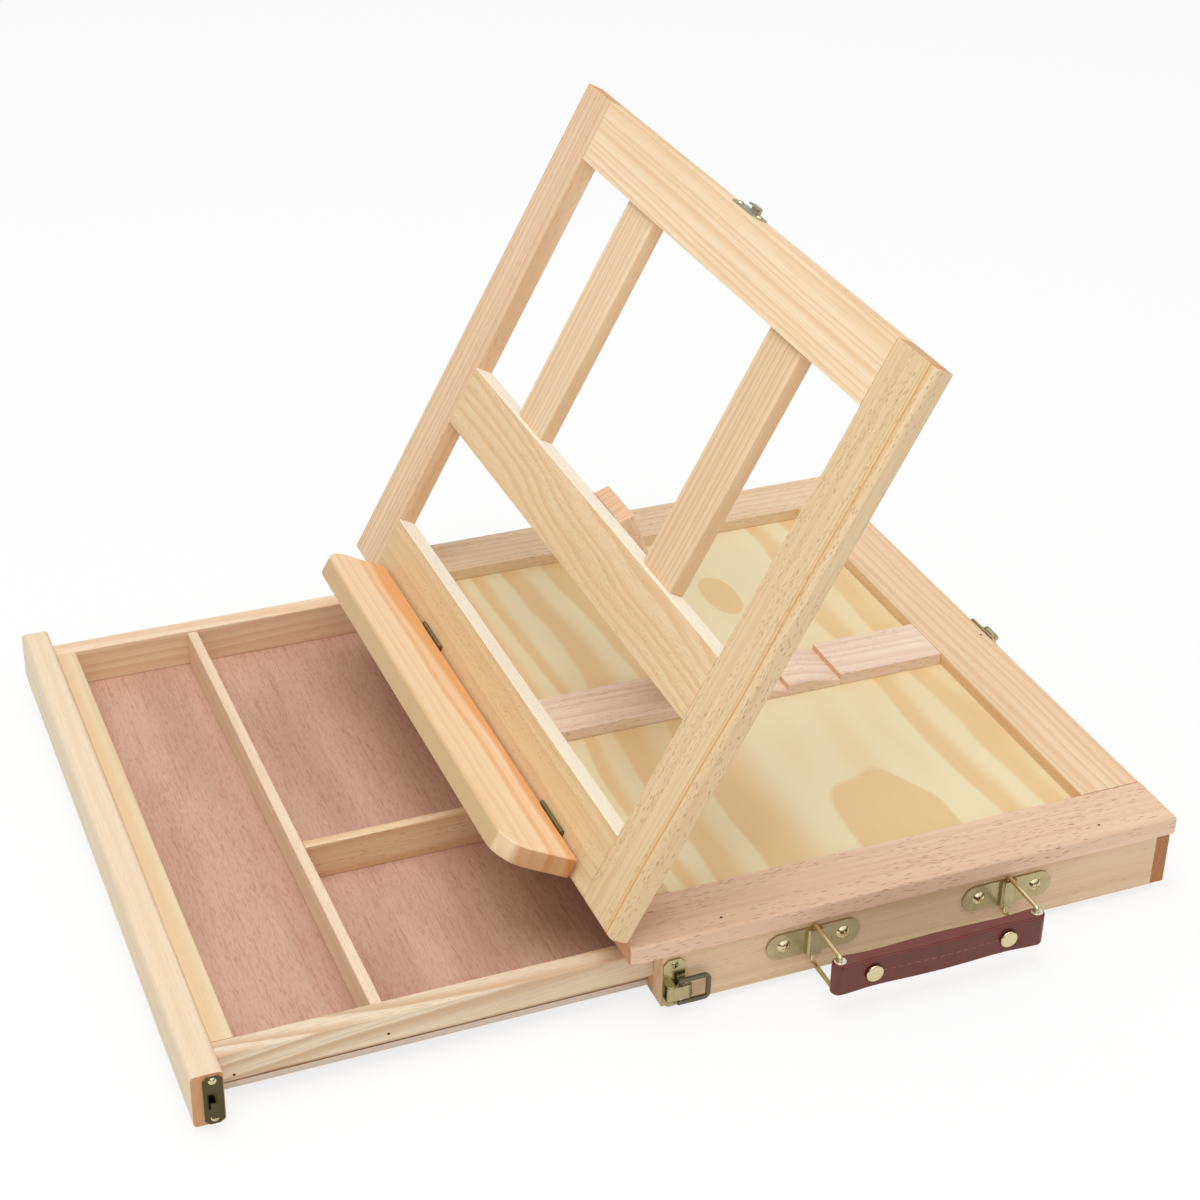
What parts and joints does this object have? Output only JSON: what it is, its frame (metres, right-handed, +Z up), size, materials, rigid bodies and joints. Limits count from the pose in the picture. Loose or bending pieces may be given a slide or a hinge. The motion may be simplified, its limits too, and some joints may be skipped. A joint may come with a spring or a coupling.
{
  "type": "box easel",
  "caption": "Tabletop wooden box easel with a pull-out divided drawer, a folding canvas frame on a notched prop, draw latches and a leather carrying handle.",
  "frame": {"origin": "middle of the case's footprint on the table, level with the bottoms of the feet", "axes": "+Z up, -Y towards the artist and the drawer front, +X towards the side that has the handle"},
  "size_m": [0.3775, 0.447, 0.2803],
  "materials": {
    "pine": "matt, lightly sanded",
    "birch_plywood": "matt",
    "mahogany_plywood": "matt",
    "brass_plated_steel": "bright plated",
    "leather": "smooth satin",
    "rubber": "matt"
  },
  "bodies": {
    "case": {"cap_panel": "birch_plywood", "cap_rail_back": "pine", "cap_rail_front": "pine", "cap_rail_left": "pine", "cap_rail_right": "pine", "case_back": "pine", "case_side_left": "pine", "case_side_right": "pine", "drawer_runners": "pine", "easel_hinge_leaves_case": "brass_plated_steel", "easel_hinge_pins": "brass_plated_steel", "feet": "rubber", "handle_plates": "brass_plated_steel", "handle_screws": "brass_plated_steel", "latch_left_plate": "brass_plated_steel", "latch_right_plate": "brass_plated_steel", "latch_screws_case": "brass_plated_steel", "latch_side_pins": "brass_plated_steel", "latch_top_pin": "brass_plated_steel", "latch_top_plate": "brass_plated_steel", "ratchet_bar": "pine"},
    "drawer": {"catch_plates_drawer": "brass_plated_steel", "catch_screws_drawer": "brass_plated_steel", "drawer_back": "pine", "drawer_bottom": "mahogany_plywood", "drawer_divider_long": "pine", "drawer_divider_short": "pine", "drawer_false_front": "pine", "drawer_inner_front": "pine", "drawer_side_left": "pine", "drawer_side_right": "pine"},
    "easel_frame": {"catch_plate_easel": "brass_plated_steel", "catch_screws_easel": "brass_plated_steel", "easel_hinge_leaves_frame": "brass_plated_steel", "easel_rail_bottom": "pine", "easel_rail_middle": "pine", "easel_rail_top": "pine", "easel_slat_left": "pine", "easel_slat_right": "pine", "easel_stile_left": "pine", "easel_stile_right": "pine", "ledge_hinge_leaves_frame": "brass_plated_steel", "prop_hinge_leaf_rail": "brass_plated_steel", "small_hinge_pins": "brass_plated_steel"},
    "ledge": {"canvas_ledge": "pine", "ledge_hinge_leaves_ledge": "brass_plated_steel"},
    "prop": {"prop_hinge_leaf_leg": "brass_plated_steel", "prop_leg": "pine"},
    "ring_front": {"handle_ring_front": "brass_plated_steel"},
    "ring_back": {"handle_ring_back": "brass_plated_steel"},
    "grip": {"handle_grip": "leather", "handle_grip_rivets": "brass_plated_steel", "handle_grip_tubes": "brass_plated_steel"},
    "right_lever": {"latch_right_lever": "brass_plated_steel"},
    "right_loop": {"latch_right_loop": "brass_plated_steel"},
    "left_lever": {"latch_left_lever": "brass_plated_steel"},
    "left_loop": {"latch_left_loop": "brass_plated_steel"},
    "top_lever": {"latch_top_lever": "brass_plated_steel"},
    "top_loop": {"latch_top_loop": "brass_plated_steel"}
  },
  "joints": [
    {"name": "drawer_slide", "type": "slide", "parent": "case", "child": "drawer", "axis": [0, 1, 0], "range_m": [-0.02, 0.1834]},
    {"name": "easel_fold", "type": "hinge", "parent": "case", "child": "easel_frame", "pos_m": [0, -0.13095, 0.0401], "axis": [1, 0, 0], "range_deg": [-61.7, 0]},
    {"name": "prop_fold", "type": "hinge", "parent": "easel_frame", "child": "prop", "pos_m": [0, -0.07463, 0.1447], "axis": [1, 0, 0], "range_deg": [0, 131.27]},
    {"name": "ledge_fold", "type": "hinge", "parent": "easel_frame", "child": "ledge", "pos_m": [0, -0.13544, 0.05581], "axis": [-1, 0, 0], "range_deg": [0, 90]},
    {"name": "handle_swing", "type": "hinge", "parent": "case", "child": "ring_front", "pos_m": [0.17265, -0.0465, 0.0196], "axis": [0, 0, 1], "range_deg": [-68, 68]},
    {"name": "handle_grip_turn", "type": "hinge", "parent": "ring_front", "child": "grip", "pos_m": [0.19615, -0.0465, 0.0196], "axis": [0, 0, 1], "range_deg": [-68, 68]},
    {"name": "handle_ring_follow", "type": "hinge", "parent": "case", "child": "ring_back", "pos_m": [0.17265, 0.0465, 0.0196], "axis": [0, 0, 1], "range_deg": [-68, 68]},
    {"name": "right_latch_lever", "type": "hinge", "parent": "case", "child": "right_lever", "pos_m": [0.1752, -0.1126, 0.0129], "axis": [0, 0, -1], "range_deg": [0, 80]},
    {"name": "right_latch_loop", "type": "hinge", "parent": "right_lever", "child": "right_loop", "pos_m": [0.1752, -0.1082, 0.0129], "axis": [0, 0, -1], "range_deg": [0, 95]},
    {"name": "left_latch_lever", "type": "hinge", "parent": "case", "child": "left_lever", "pos_m": [-0.1752, -0.1126, 0.0129], "axis": [0, 0, 1], "range_deg": [0, 80]},
    {"name": "left_latch_loop", "type": "hinge", "parent": "left_lever", "child": "left_loop", "pos_m": [-0.1752, -0.1082, 0.0129], "axis": [0, 0, 1], "range_deg": [0, 95]},
    {"name": "top_latch_lever", "type": "hinge", "parent": "case", "child": "top_lever", "pos_m": [0.005, 0.1337, 0.0371], "axis": [1, 0, 0], "range_deg": [0, 80]},
    {"name": "top_latch_loop", "type": "hinge", "parent": "top_lever", "child": "top_loop", "pos_m": [0.005, 0.1337, 0.0327], "axis": [1, 0, 0], "range_deg": [0, 95]}
  ],
  "couplings": [
    {"joint": "prop_fold", "follows": "easel_fold", "ratio": -2.1275},
    {"joint": "handle_grip_turn", "follows": "handle_swing", "ratio": -1},
    {"joint": "handle_ring_follow", "follows": "handle_swing", "ratio": 1}
  ]
}
